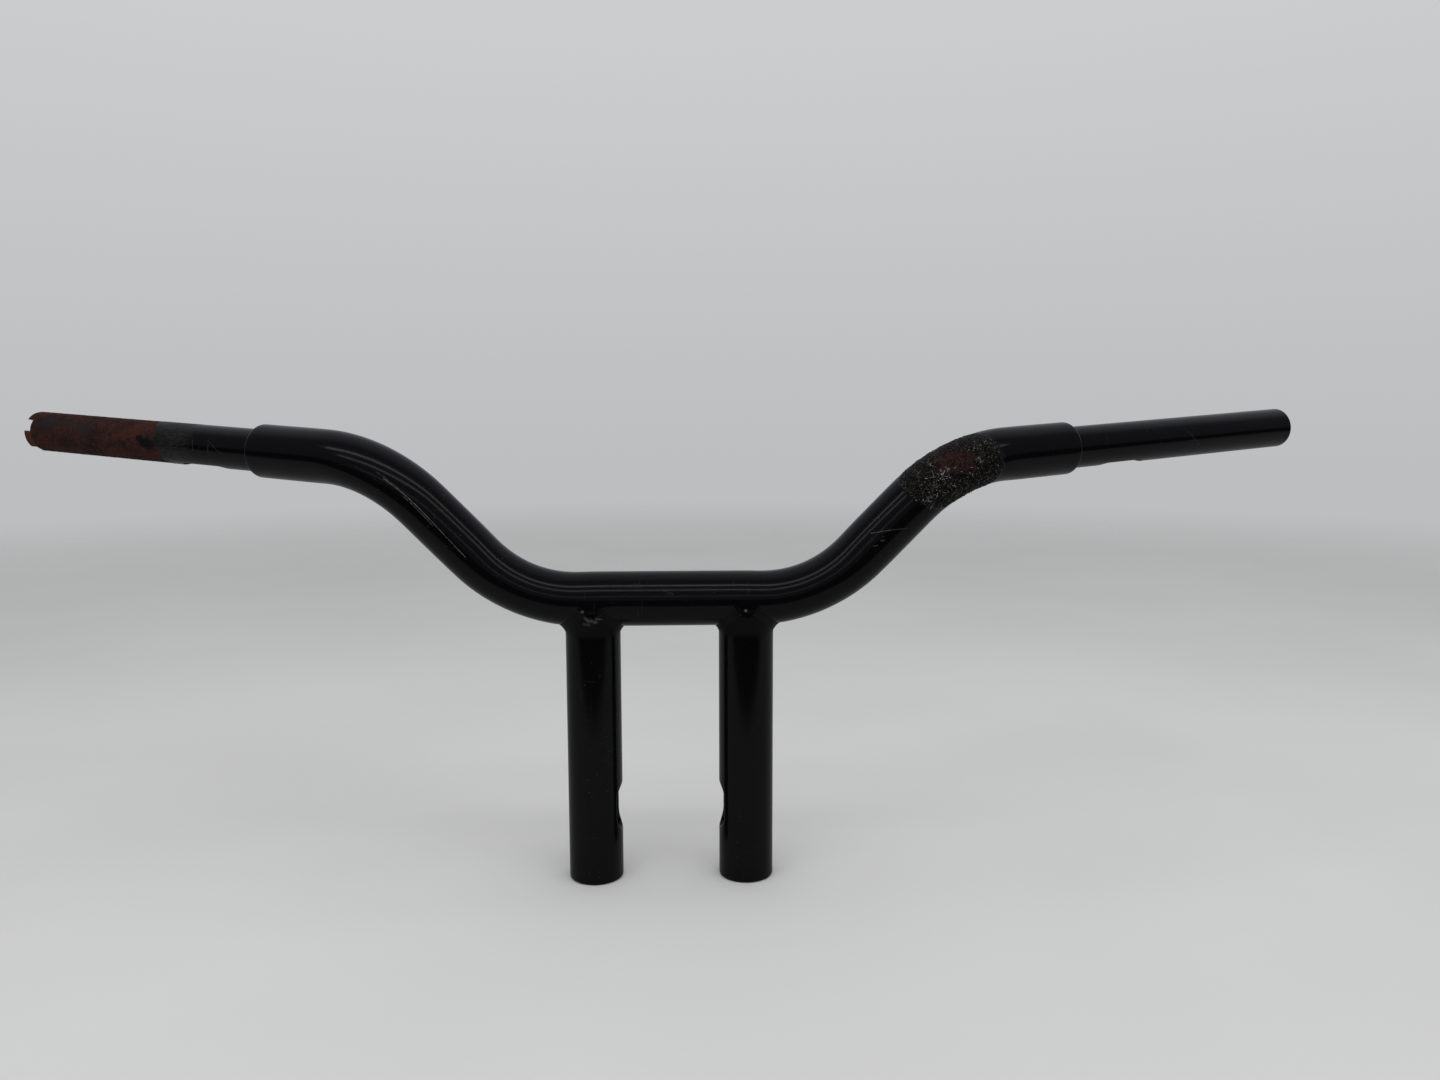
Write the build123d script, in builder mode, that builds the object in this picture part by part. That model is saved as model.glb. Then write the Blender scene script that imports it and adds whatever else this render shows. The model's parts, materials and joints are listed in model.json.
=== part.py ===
from build123d import *
from math import cos, radians, sin, sqrt
import os

os.makedirs("parts", exist_ok=True)

# T-bar handlebar, millimetres. Origin: midway between the riser feet, on the face that
# bolts to the top clamp. +X along the bar, +Y towards the rider, +Z up the risers.

# Centre tube: one 1-1/4 in tube, bent four times
bar_diameter = 31.75
bar_height = 166.7            # riser foot to the centreline of the centre straight
first_bend_x = 86.5           # middle of the bar to the corner of the first bend
diagonal_length = 111.8       # corner to corner
diagonal_angle = 45.7         # climb of the diagonals above the centre straight
bend_radius = 82.55           # centreline radius of every bend, 3-1/4 in
end_run_length = 267.0        # corner of the second bend to the tip of the grip tube
sweepback_angle = 23.0        # end runs turned back towards the rider
tip_rise_angle = 3.5          # end runs still climb by this much
shoulder_round = 2.0          # outer edge where the centre tube stops

# Grip tubes: 1 in tubes plugged into the ends of the centre tube
grip_diameter = 25.4
grip_wall = 2.41
grip_length = 184.0           # shoulder to tip
spigot_length = 38.0          # turned-down end, hidden inside the centre tube
spigot_step = 0.35            # taken off the grip tube's radius along the spigot
spigot_clearance = 0.1        # radial gap to the bore of the centre tube
grip_end_round = 0.6
wire_slot_width = 11.5        # obround wiring slot underneath
wire_slot_length = 36.0
wire_slot_start = 24.0        # shoulder to the near end of the slot
notch_count = 4               # castellated end for an internal throttle
notch_width = 8.0
notch_depth = 5.5
notch_turn = 21.0             # first notch sits this far above the forward side

# Risers: 1-1/4 in heavy tubes coped to the underside of the centre tube
riser_spacing = 88.9          # 3-1/2 in between the riser bolts
riser_diameter = 31.75
riser_wall = 6.35
riser_foot_round = 1.6
window_width = 17.0           # obround wiring windows that face each other
window_height = 27.2
window_centre_height = 43.2
bar_wire_hole = 16.0          # drilled through the centre tube above each riser

# Threaded bungs in the riser feet, 1/2-13, bored to the minor diameter
bung_length = 22.0
bung_bore = 10.72
bung_clearance = 0.05         # radial gap to the riser

# Weld beads
saddle_weld_leg = 5.0
saddle_weld_cap = 0.5         # how far the bead stands proud at the front and the back
shoulder_weld_width = 1.5     # root gap between centre tube and grip tube that it fills
foot_weld_leg = 2.5

bar_radius = bar_diameter / 2
grip_radius = grip_diameter / 2
grip_bore_radius = grip_radius - grip_wall
spigot_radius = grip_radius - spigot_step
bar_bore_radius = spigot_radius + spigot_clearance
bar_wall = bar_radius - bar_bore_radius
riser_radius = riser_diameter / 2
riser_bore_radius = riser_radius - riser_wall
bung_radius = riser_bore_radius - bung_clearance
bung_wall = bung_radius - bung_bore / 2

# Roundings and chamfers never use up the wall that they are cut in
shoulder_edge = min(shoulder_round, 0.66 * bar_wall)
foot_groove = min(foot_weld_leg, 0.65 * bung_wall)

shoulder_distance = end_run_length - grip_length
sides = {"throttle": -1, "clutch": 1}


def direction(side, climb, turn):
    """Unit vector towards one end of the bar, climbing and turned back by these angles."""
    level = cos(radians(climb))
    return Vector(side * level * cos(radians(turn)), level * sin(radians(turn)), sin(radians(climb)))


def first_corner(side):
    return Vector(side * first_bend_x, 0, bar_height)


def second_corner(side):
    return first_corner(side) + direction(side, diagonal_angle, 0) * diagonal_length


def end_run_plane(side, distance):
    """Plane across an end run, this far from the corner of the second bend: local Z points
    to the tip, local X to the ground."""
    along = direction(side, tip_rise_angle, sweepback_angle)
    down = Vector(0, 0, -1) - along * along.dot(Vector(0, 0, -1))
    return Plane(second_corner(side) + along * distance, x_dir=down.normalized(), z_dir=along)


def circles_at(part, point, radius):
    """Circular edges of a part with this centre and radius."""
    return part.edges().filter_by(GeomType.CIRCLE).filter_by(
        lambda edge: (edge.arc_center - point).length < 0.01 and abs(edge.radius - radius) < 0.01
    )


# Centre tube

with BuildLine() as bar_line:
    FilletPolyline(
        end_run_plane(-1, shoulder_distance).origin,
        second_corner(-1),
        first_corner(-1),
        first_corner(1),
        second_corner(1),
        end_run_plane(1, shoulder_distance).origin,
        radius=bend_radius,
    )

bar_start = Plane(bar_line.line @ 0, z_dir=bar_line.line % 0)

# Outer shape of the centre tube as a bar: the risers and the saddle welds are cut to it
with BuildPart() as bar_envelope:
    with BuildSketch(bar_start):
        Circle(bar_radius)
    sweep(path=bar_line.line)

with BuildPart() as centre_tube:
    with BuildSketch(bar_start):
        Circle(bar_radius)
        Circle(bar_bore_radius, mode=Mode.SUBTRACT)
    sweep(path=bar_line.line)
    for side in sides.values():
        shoulder = end_run_plane(side, shoulder_distance)
        fillet(circles_at(centre_tube, shoulder.origin, bar_radius), shoulder_edge)
    with BuildSketch(Plane.XY.offset(bar_height)):
        with GridLocations(riser_spacing, 0, 2, 1):
            Circle(bar_wire_hole / 2)
    extrude(amount=-bar_radius, mode=Mode.SUBTRACT)
centre_tube.part.label = "centre_tube"
export_step(centre_tube.part, "parts/centre_tube.step")


# Grip tubes, with the small weld that closes the step at each shoulder

for name, side in sides.items():
    tip = end_run_plane(side, end_run_length)
    shoulder = end_run_plane(side, shoulder_distance)
    weld_toe = end_run_plane(side, shoulder_distance + shoulder_weld_width)
    slot_middle = end_run_plane(side, shoulder_distance + wire_slot_start + wire_slot_length / 2)

    with BuildPart() as grip_tube:
        with BuildSketch(weld_toe):
            Circle(grip_radius)
        extrude(amount=grip_length - shoulder_weld_width)
        with BuildSketch(weld_toe):
            Circle(spigot_radius)
        extrude(amount=-(spigot_length + shoulder_weld_width))
        with BuildSketch(tip):
            Circle(grip_bore_radius)
        extrude(amount=-(grip_length + spigot_length), mode=Mode.SUBTRACT)
        tip_rims = circles_at(grip_tube, tip.origin, grip_radius)
        tip_rims += circles_at(grip_tube, tip.origin, grip_bore_radius)
        fillet(tip_rims, grip_end_round)
        with BuildSketch(Plane(slot_middle.origin, x_dir=slot_middle.z_dir, z_dir=slot_middle.x_dir)):
            SlotOverall(wire_slot_length, wire_slot_width)
        extrude(amount=grip_diameter, mode=Mode.SUBTRACT)
        if name == "throttle":
            # On this side local Y of the tip plane points forwards, at 90 degrees
            with BuildSketch(tip):
                with PolarLocations(grip_radius, notch_count, start_angle=90 + notch_turn):
                    Rectangle(4 * grip_wall, notch_width)
            extrude(amount=-notch_depth, mode=Mode.SUBTRACT)
    grip_tube.part.label = f"grip_tube_{name}"
    export_step(grip_tube.part, f"parts/grip_tube_{name}.step")

    bead_section = Plane(
        shoulder.origin, x_dir=shoulder.x_dir, z_dir=shoulder.x_dir.cross(shoulder.z_dir)
    )
    with BuildPart() as shoulder_weld:
        with BuildSketch(bead_section):
            with BuildLine():
                Polyline(
                    (spigot_radius, 0),
                    (bar_radius - shoulder_edge, 0),
                    (grip_radius, shoulder_weld_width),
                    (spigot_radius, shoulder_weld_width),
                    close=True,
                )
            make_face()
        revolve(axis=Axis(shoulder.origin, shoulder.z_dir))
    shoulder_weld.part.label = f"shoulder_weld_{name}"
    export_step(shoulder_weld.part, f"parts/shoulder_weld_{name}.step")


# Risers, bungs and their welds

def saddle_run(x, flank):
    """Half of a saddle bead. In every slice across the bar's front-to-back line the two tubes
    meet in a square corner, so one elliptic prism along that corner's flank bounds the bead."""
    reach = riser_radius + 2 * saddle_weld_leg
    with BuildPart() as run:
        with BuildSketch(Plane((x, 0, bar_height), x_dir=(flank, 0, -1), z_dir=(flank, 0, 1))):
            with Locations((saddle_weld_leg / sqrt(2), 0)):
                Ellipse((riser_radius + bar_radius) / sqrt(2), riser_radius + saddle_weld_cap)
        extrude(amount=2 * reach, both=True)
        with Locations((x + flank * reach / 2, 0, bar_height - reach / 2)):
            Box(reach, 2 * reach, reach, mode=Mode.INTERSECT)
    return run.part


for name, side in sides.items():
    x = side * riser_spacing / 2

    with BuildPart() as riser:
        with BuildSketch(Plane.XY):
            with Locations((x, 0)):
                Circle(riser_radius)
                Circle(riser_bore_radius, mode=Mode.SUBTRACT)
        extrude(amount=bar_height)
        fillet(circles_at(riser, Vector(x, 0, 0), riser_radius), riser_foot_round)
        with BuildSketch(Plane.YZ.offset(x)):
            with Locations((0, window_centre_height)):
                SlotOverall(window_height, window_width, rotation=90)
        extrude(amount=-side * riser_diameter, mode=Mode.SUBTRACT)
        add(bar_envelope.part, mode=Mode.SUBTRACT)
    riser.part.label = f"riser_{name}"
    export_step(riser.part, f"parts/riser_{name}.step")

    with BuildPart() as bung:
        with BuildSketch(Plane.XY):
            with Locations((x, 0)):
                Circle(bung_radius)
                Circle(bung_bore / 2, mode=Mode.SUBTRACT)
        extrude(amount=bung_length)
        chamfer(circles_at(bung, Vector(x, 0, 0), bung_radius), foot_groove)
    bung.part.label = f"riser_bung_{name}"
    export_step(bung.part, f"parts/riser_bung_{name}.step")

    # Fills the groove between bung and riser, dressed flush with the foot
    with BuildPart() as foot_weld:
        with BuildSketch(Plane.XZ):
            with BuildLine():
                Polyline(
                    (x + bung_radius - foot_groove, 0),
                    (x + riser_bore_radius, 0),
                    (x + riser_bore_radius, foot_groove),
                    (x + bung_radius, foot_groove),
                    close=True,
                )
            make_face()
        revolve(axis=Axis((x, 0, 0), (0, 0, 1)))
    foot_weld.part.label = f"foot_weld_{name}"
    export_step(foot_weld.part, f"parts/foot_weld_{name}.step")

    with BuildPart() as saddle_weld:
        add([saddle_run(x, -1), saddle_run(x, 1)])
        with BuildSketch(Plane.XY):
            with Locations((x, 0)):
                Circle(riser_radius)
        extrude(amount=bar_height, mode=Mode.SUBTRACT)
        add(bar_envelope.part, mode=Mode.SUBTRACT)
    saddle_weld.part.label = f"saddle_weld_{name}"
    export_step(saddle_weld.part, f"parts/saddle_weld_{name}.step")
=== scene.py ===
import json
import math
import random

import bmesh
import bpy
import numpy as np
from mathutils import Matrix, Vector, noise


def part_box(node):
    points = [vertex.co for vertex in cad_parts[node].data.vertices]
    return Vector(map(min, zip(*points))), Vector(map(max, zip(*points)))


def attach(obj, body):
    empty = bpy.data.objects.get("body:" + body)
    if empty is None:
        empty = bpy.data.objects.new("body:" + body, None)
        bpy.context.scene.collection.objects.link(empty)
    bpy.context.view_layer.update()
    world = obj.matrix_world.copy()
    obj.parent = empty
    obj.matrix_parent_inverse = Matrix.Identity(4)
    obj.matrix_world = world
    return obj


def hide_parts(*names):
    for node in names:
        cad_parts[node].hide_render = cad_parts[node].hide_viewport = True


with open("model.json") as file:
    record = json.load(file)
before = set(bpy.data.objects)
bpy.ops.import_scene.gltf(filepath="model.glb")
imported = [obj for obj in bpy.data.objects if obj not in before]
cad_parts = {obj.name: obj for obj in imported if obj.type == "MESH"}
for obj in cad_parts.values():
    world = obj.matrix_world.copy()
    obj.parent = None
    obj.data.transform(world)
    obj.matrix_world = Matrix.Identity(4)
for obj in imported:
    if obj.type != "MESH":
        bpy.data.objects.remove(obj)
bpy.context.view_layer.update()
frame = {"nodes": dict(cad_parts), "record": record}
print("packed part loaded")

mm = 0.001
random.seed(7)

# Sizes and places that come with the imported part
mounts = {mount["name"]: mount for mount in frame["record"]["mounts"]}
riserX = mounts["riser_bolts"]["dims"]["spacing_x_mm"] * mm / 2
threadRadius = mounts["riser_bolts"]["dims"]["hole_r_mm"] * mm
gripRadius = mounts["grip_clutch"]["dims"]["r_mm"] * mm
gripBore = mounts["grip_bore_clutch"]["dims"]["r_mm"] * mm
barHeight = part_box("riser_clutch")[1].z
barRadius = -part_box("centre_tube")[0].y
riserRadius = -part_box("riser_clutch")[0].y
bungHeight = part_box("riser_bung_clutch")[1].z
sides = {"throttle": -1, "clutch": 1}


# Small helpers for shapes

def ease(value, low=0.0, high=1.0):
    share = np.clip((value - low) / (high - low), 0, 1)
    return share * share * (3 - 2 * share)


def circle(count):
    return np.arange(count) * 2 * math.pi / count


def addGrid(mesh, rows, closed=True, keep=None, marks=None):
    # rows of points become rows of faces; closed joins the end of each row to its start
    layers = {name: mesh.verts.layers.float[name] for name in marks or {}}
    verts = []
    for i, row in enumerate(rows):
        verts.append([mesh.verts.new(point) for point in row])
        for name, layer in layers.items():
            for j, vert in enumerate(verts[-1]):
                vert[layer] = marks[name][i][j]
    count = len(verts[0])
    for i in range(len(verts) - 1):
        for j in range(count if closed else count - 1):
            if keep is None or keep(i, j):
                k = (j + 1) % count
                mesh.faces.new((verts[i][j], verts[i][k], verts[i + 1][k], verts[i + 1][j]))
    return verts


def newMesh(*layerNames):
    mesh = bmesh.new()
    for name in layerNames:
        mesh.verts.layers.float.new(name)
    return mesh


def finishPiece(mesh, name, material, nodes, sharpAngle=38):
    bmesh.ops.remove_doubles(mesh, verts=mesh.verts, dist=0.001 * mm)
    bmesh.ops.recalc_face_normals(mesh, faces=mesh.faces)
    data = bpy.data.meshes.new(name)
    mesh.to_mesh(data)
    mesh.free()
    data.shade_smooth()
    data.set_sharp_from_angle(angle=math.radians(sharpAngle))
    data.materials.append(material)
    piece = bpy.data.objects.new(name, data)
    bpy.context.scene.collection.objects.link(piece)
    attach(piece, "root")
    if nodes:
        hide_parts(*nodes)
    print("made", name, len(data.polygons), "faces")
    return piece


def insideDistance(outline, along, across):
    # how far points are inside a closed outline, negative outside
    nearest = np.full(along.shape, 1e9)
    inside = np.zeros(along.shape, bool)
    for (x0, y0), (x1, y1) in zip(outline, outline[1:] + outline[:1]):
        dx, dy = x1 - x0, y1 - y0
        share = np.clip(((along - x0) * dx + (across - y0) * dy) / (dx * dx + dy * dy), 0, 1)
        gap = np.hypot(along - x0 - share * dx, across - y0 - share * dy)
        nearest = np.minimum(nearest, gap)
        if dy != 0:
            crosses = (y0 > across) != (y1 > across)
            inside ^= crosses & (along < x0 + (across - y0) * dx / dy)
    return np.where(inside, nearest, -nearest)


# Helpers for materials

def plug(tree, socket, value):
    if isinstance(value, bpy.types.NodeSocket):
        tree.links.new(value, socket)
    else:
        socket.default_value = value


def addNode(tree, kind, settings=None, **inputs):
    node = tree.nodes.new("ShaderNode" + kind)
    for key, value in (settings or {}).items():
        setattr(node, key, value)
    for key, value in inputs.items():
        plug(tree, node.inputs[key], value)
    return node


def calc(tree, operation, first, second=0.0, clamp=False):
    node = addNode(tree, "Math", {"operation": operation, "use_clamp": clamp})
    plug(tree, node.inputs[0], first)
    plug(tree, node.inputs[1], second)
    return node.outputs[0]


def remap(tree, value, low, high, outLow=0.0, outHigh=1.0):
    node = addNode(tree, "MapRange", {"interpolation_type": "SMOOTHSTEP"})
    for index, item in enumerate((value, low, high, outLow, outHigh)):
        plug(tree, node.inputs[index], item)
    return node.outputs[0]


def blendColor(tree, share, first, second):
    node = addNode(tree, "Mix", {"data_type": "RGBA"})
    for index, item in ((0, share), (6, first), (7, second)):
        plug(tree, node.inputs[index], item)
    return node.outputs[2]


def blendValue(tree, share, first, second):
    node = addNode(tree, "Mix", {"data_type": "FLOAT"})
    for index, item in ((0, share), (2, first), (3, second)):
        plug(tree, node.inputs[index], item)
    return node.outputs[0]


def placeOf(tree, stretch=(1, 1, 1), turn=(0, 0, 0)):
    coords = addNode(tree, "TexCoord")
    mapping = addNode(tree, "Mapping", Vector=coords.outputs["Object"], Scale=stretch, Rotation=turn)
    return mapping.outputs[0]


def grain(tree, place, scale, detail=2.0, roughness=0.5, distortion=0.0):
    node = addNode(tree, "TexNoise", Vector=place, Scale=scale, Detail=detail)
    node.inputs["Roughness"].default_value = roughness
    node.inputs["Distortion"].default_value = distortion
    return node.outputs[0]


def cells(tree, place, scale, feature="F1"):
    node = addNode(tree, "TexVoronoi", {"feature": feature}, Vector=place, Scale=scale)
    return node.outputs["Distance"]


def startGroup(name, inputs, outputs):
    tree = bpy.data.node_groups.new(name, "ShaderNodeTree")
    for label, value in inputs.items():
        kind = "NodeSocketVector" if isinstance(value, tuple) else "NodeSocketFloat"
        socket = tree.interface.new_socket(name=label, in_out="INPUT", socket_type=kind)
        socket.default_value = value
    for label, kind in outputs.items():
        tree.interface.new_socket(name=label, in_out="OUTPUT", socket_type="NodeSocket" + kind)
    return tree, tree.nodes.new("NodeGroupInput"), tree.nodes.new("NodeGroupOutput")


def useGroup(tree, group, **inputs):
    node = tree.nodes.new("ShaderNodeGroup")
    node.node_tree = group
    for key, value in inputs.items():
        plug(tree, node.inputs[key], value)
    return node.outputs


# Orange peel of the sprayed coat: broad, shallow waves and a finer skin
def makeOrangePeel():
    tree, given, result = startGroup("orangePeel", {"Scale": 420.0}, {"Height": "Float"})
    place = placeOf(tree)
    broad = grain(tree, place, given.outputs["Scale"], 1.0)
    fineScale = calc(tree, "MULTIPLY", given.outputs["Scale"], 5.0)
    fine = grain(tree, place, fineScale, 2.0)
    plug(tree, result.inputs["Height"], calc(tree, "ADD", broad, calc(tree, "MULTIPLY", fine, 0.12)))
    return tree


# Fine hairline scratches, in two directions
def makeHairScratches():
    tree, given, result = startGroup("hairScratches", {"Scale": 60.0, "Amount": 0.5}, {"Mask": "Float"})
    masks = []
    for stretch, turn in (((1, 1, 16), (0.3, 0.9, 0)), ((14, 1, 1), (0.2, -0.5, 0.7))):
        streak = grain(tree, placeOf(tree, stretch, turn), given.outputs["Scale"], 3.0, 0.6)
        patch = grain(tree, placeOf(tree), 35.0, 1.0)
        line = remap(tree, streak, 0.655, 0.69)
        masks.append(calc(tree, "MULTIPLY", line, remap(tree, patch, 0.5, 0.62)))
    both = calc(tree, "MAXIMUM", masks[0], masks[1])
    plug(tree, result.inputs["Mask"], calc(tree, "MULTIPLY", both, given.outputs["Amount"], True))
    return tree


# Dust and tiny stone chips
def makeSpecks():
    tree, given, result = startGroup("specks", {"Scale": 260.0, "Amount": 0.5}, {"Mask": "Float"})
    place = placeOf(tree)
    dots = remap(tree, cells(tree, place, given.outputs["Scale"]), 0.16, 0.07)
    patch = remap(tree, grain(tree, place, 45.0, 2.0), 0.52, 0.66)
    spread = calc(tree, "MULTIPLY", dots, patch)
    plug(tree, result.inputs["Mask"], calc(tree, "MULTIPLY", spread, given.outputs["Amount"], True))
    return tree


# Old rust: dark brown with redder and blacker patches and a pitted skin
def makeRustMottle():
    outputs = {"Color": "Color", "Roughness": "Float", "Height": "Float"}
    tree, given, result = startGroup("rustMottle", {"Scale": 120.0, "Red": 0.5}, outputs)
    place = placeOf(tree)
    scale = given.outputs["Scale"]
    broad = grain(tree, place, scale, 5.0, 0.6, 0.4)
    fine = grain(tree, place, calc(tree, "MULTIPLY", scale, 7.0), 4.0, 0.7)
    shift = calc(tree, "MULTIPLY", given.outputs["Red"], 0.12)
    redder = remap(tree, calc(tree, "ADD", broad, shift), 0.42, 0.68)
    color = blendColor(tree, redder, (0.0155, 0.0085, 0.0075, 1), (0.040, 0.0125, 0.0095, 1))
    color = blendColor(tree, remap(tree, fine, 0.53, 0.70, 0, 0.7), color, (0.062, 0.026, 0.018, 1))
    color = blendColor(tree, remap(tree, fine, 0.47, 0.34, 0, 0.8), color, (0.0085, 0.007, 0.007, 1))
    plug(tree, result.inputs["Color"], color)
    plug(tree, result.inputs["Roughness"], remap(tree, fine, 0.3, 0.7, 0.62, 0.9))
    pits = remap(tree, cells(tree, place, calc(tree, "MULTIPLY", scale, 5.0)), 0.05, 0.4)
    plug(tree, result.inputs["Height"], calc(tree, "ADD", calc(tree, "MULTIPLY", pits, 0.5), fine))
    return tree


# One mark (scratches and scuffs, and also the painted highlight streaks and specks): everything near a
# straight line between two points
def makeMarkLine():
    points = {"Start": (0.0, 0.0, 0.0), "End": (0.0, 0.0, 0.0)}
    tree, given, result = startGroup("markLine", {**points, "Width": 0.001, "Wander": 0.0}, {"Mask": "Float"})

    def vectorMath(operation, first, second):
        node = addNode(tree, "VectorMath", {"operation": operation})
        plug(tree, node.inputs[0], first)
        plug(tree, node.inputs[3 if operation == "SCALE" else 1], second)
        return node.outputs["Value" if operation in ("DOT_PRODUCT", "DISTANCE") else "Vector"]

    start, width = given.outputs["Start"], given.outputs["Width"]
    run = vectorMath("SUBTRACT", given.outputs["End"], start)
    offset = vectorMath("SUBTRACT", placeOf(tree), start)
    along = vectorMath("DOT_PRODUCT", offset, run)
    share = calc(tree, "DIVIDE", along, vectorMath("DOT_PRODUCT", run, run), True)
    gap = vectorMath("DISTANCE", offset, vectorMath("SCALE", run, share))
    gap = calc(tree, "ADD", calc(tree, "DIVIDE", gap, width), given.outputs["Wander"])
    plug(tree, result.inputs["Mask"], remap(tree, gap, 0.9, 0.3))
    return tree


orangePeel = makeOrangePeel()
markLine = makeMarkLine()
hairScratches = makeHairScratches()
specks = makeSpecks()
rustMottle = makeRustMottle()


def startMaterial(name):
    material = bpy.data.materials.new(name)
    material.use_nodes = True
    tree = material.node_tree
    tree.nodes.clear()
    shader = addNode(tree, "BsdfPrincipled")
    output = addNode(tree, "OutputMaterial")
    tree.links.new(shader.outputs[0], output.inputs["Surface"])
    return material, tree, shader


def attribute(tree, name):
    return addNode(tree, "Attribute", {"attribute_type": "GEOMETRY", "attribute_name": name}).outputs["Fac"]


def addBump(tree, height, depth, normal=None):
    node = addNode(tree, "Bump", Height=height, Distance=depth)
    node.inputs["Strength"].default_value = 1.0
    if normal is not None:
        tree.links.new(normal, node.inputs["Normal"])
    return node.outputs[0]


paintLook = {
    "black": (0.0017, 0.0017, 0.0022, 1),
    "dust": (0.05, 0.05, 0.048, 1),
    # lighter grey for scratches, and for the painted highlight streaks and specks
    "scratchAndPaintedHighlightGrey": (0.085, 0.083, 0.078, 1),
    "roughness": 0.11,
    "specular": 0.19,
    "peelDepth": 0.010 * mm,
    "scratches": 0.22,
    "dustAmount": 0.4,
}


def allMarks(tree, marks):
    # marks are (start point, end point, width, strength)
    total = 0.0
    wander = calc(tree, "SUBTRACT", grain(tree, placeOf(tree), 900.0, 4.0, 0.7), 0.48)
    wander = calc(tree, "MULTIPLY", wander, 3.4)
    for start, end, width, strength in marks:
        ends = {"Start": tuple(start), "End": tuple(end)}
        line = useGroup(tree, markLine, **ends, Width=width, Wander=wander)["Mask"]
        total = calc(tree, "MAXIMUM", calc(tree, "MULTIPLY", line, strength), total)
    return total


def glossCoat(tree, look, ownMarks=()):
    # colour, roughness and normal of the black coat where it is sound
    peel = useGroup(tree, orangePeel, Scale=190.0)["Height"]
    lines = useGroup(tree, hairScratches, Scale=70.0, Amount=look["scratches"])["Mask"]
    dust = useGroup(tree, specks, Scale=330.0, Amount=look["dustAmount"])["Mask"]
    marks = calc(tree, "MAXIMUM", calc(tree, "MULTIPLY", lines, 0.45), dust)
    cloud = grain(tree, placeOf(tree), 22.0, 3.0)
    color = blendColor(tree, marks, look["black"], look["dust"])
    if ownMarks:
        # scratches drawn in a lighter grey, and with them the painted highlight streaks and specks
        scratchAndHighlightMask = allMarks(tree, ownMarks)
        color = blendColor(tree, scratchAndHighlightMask, color, look["scratchAndPaintedHighlightGrey"])
        marks = calc(tree, "MAXIMUM", marks, scratchAndHighlightMask)
    roughness = calc(tree, "ADD", look["roughness"], calc(tree, "MULTIPLY", cloud, 0.07))
    roughness = calc(tree, "ADD", roughness, calc(tree, "MULTIPLY", marks, 0.35))
    height = calc(tree, "SUBTRACT", peel, calc(tree, "MULTIPLY", lines, 0.5))
    return color, roughness, addBump(tree, height, look["peelDepth"])


def makeGlossBlack(name, ownMarks=(), hazed=False):
    material, tree, shader = startMaterial(name)
    color, roughness, normal = glossCoat(tree, paintLook, ownMarks)
    if hazed:
        roughness = calc(tree, "ADD", roughness, calc(tree, "MULTIPLY", weldHaze(tree), weldArea["dulling"]))
    plug(tree, shader.inputs["Base Color"], color)
    plug(tree, shader.inputs["Roughness"], roughness)
    plug(tree, shader.inputs["Normal"], normal)
    shader.inputs["Specular IOR Level"].default_value = paintLook["specular"]
    return material


# The coat is duller where it covers the ground weld, apart from the glossy spots where the welder stopped
weldArea = {
    "dulling": 0.36,
    "top": (4.0 * mm, 7.0 * mm),        # below the bar's centreline
    "bottom": (17.0 * mm, 22.0 * mm),
    "spotDrop": 7.2 * mm,
    "spotSize": (6.4 * mm, 2.7 * mm),
}


def weldHaze(tree):
    coords = addNode(tree, "TexCoord")
    parts = addNode(tree, "SeparateXYZ", Vector=coords.outputs["Object"])
    drop = calc(tree, "SUBTRACT", barHeight, parts.outputs["Z"])
    aside = calc(tree, "SUBTRACT", calc(tree, "ABSOLUTE", parts.outputs["X"]), riserX)
    wide, high = weldArea["spotSize"]
    lower = calc(tree, "ABSOLUTE", calc(tree, "SUBTRACT", drop, weldArea["spotDrop"]))
    spotX = calc(tree, "DIVIDE", calc(tree, "ABSOLUTE", aside), wide)
    spot = remap(tree, calc(tree, "ADD", spotX, calc(tree, "DIVIDE", lower, high)), 0.85, 1.05)
    area = remap(tree, drop, *weldArea["bottom"], 1.0, 0.0)
    area = calc(tree, "MULTIPLY", area, remap(tree, drop, *weldArea["top"]))
    return calc(tree, "MULTIPLY", area, spot)


blisterLook = {
    "crinkled": (0.0024, 0.0021, 0.0020, 1),
    "brown": (0.012, 0.0065, 0.005, 1),
    "ash": (0.125, 0.122, 0.118, 1),
    "specular": 0.10,
    "crackDepth": 0.35 * mm,
    "edgeRagged": 0.42,
}


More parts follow.
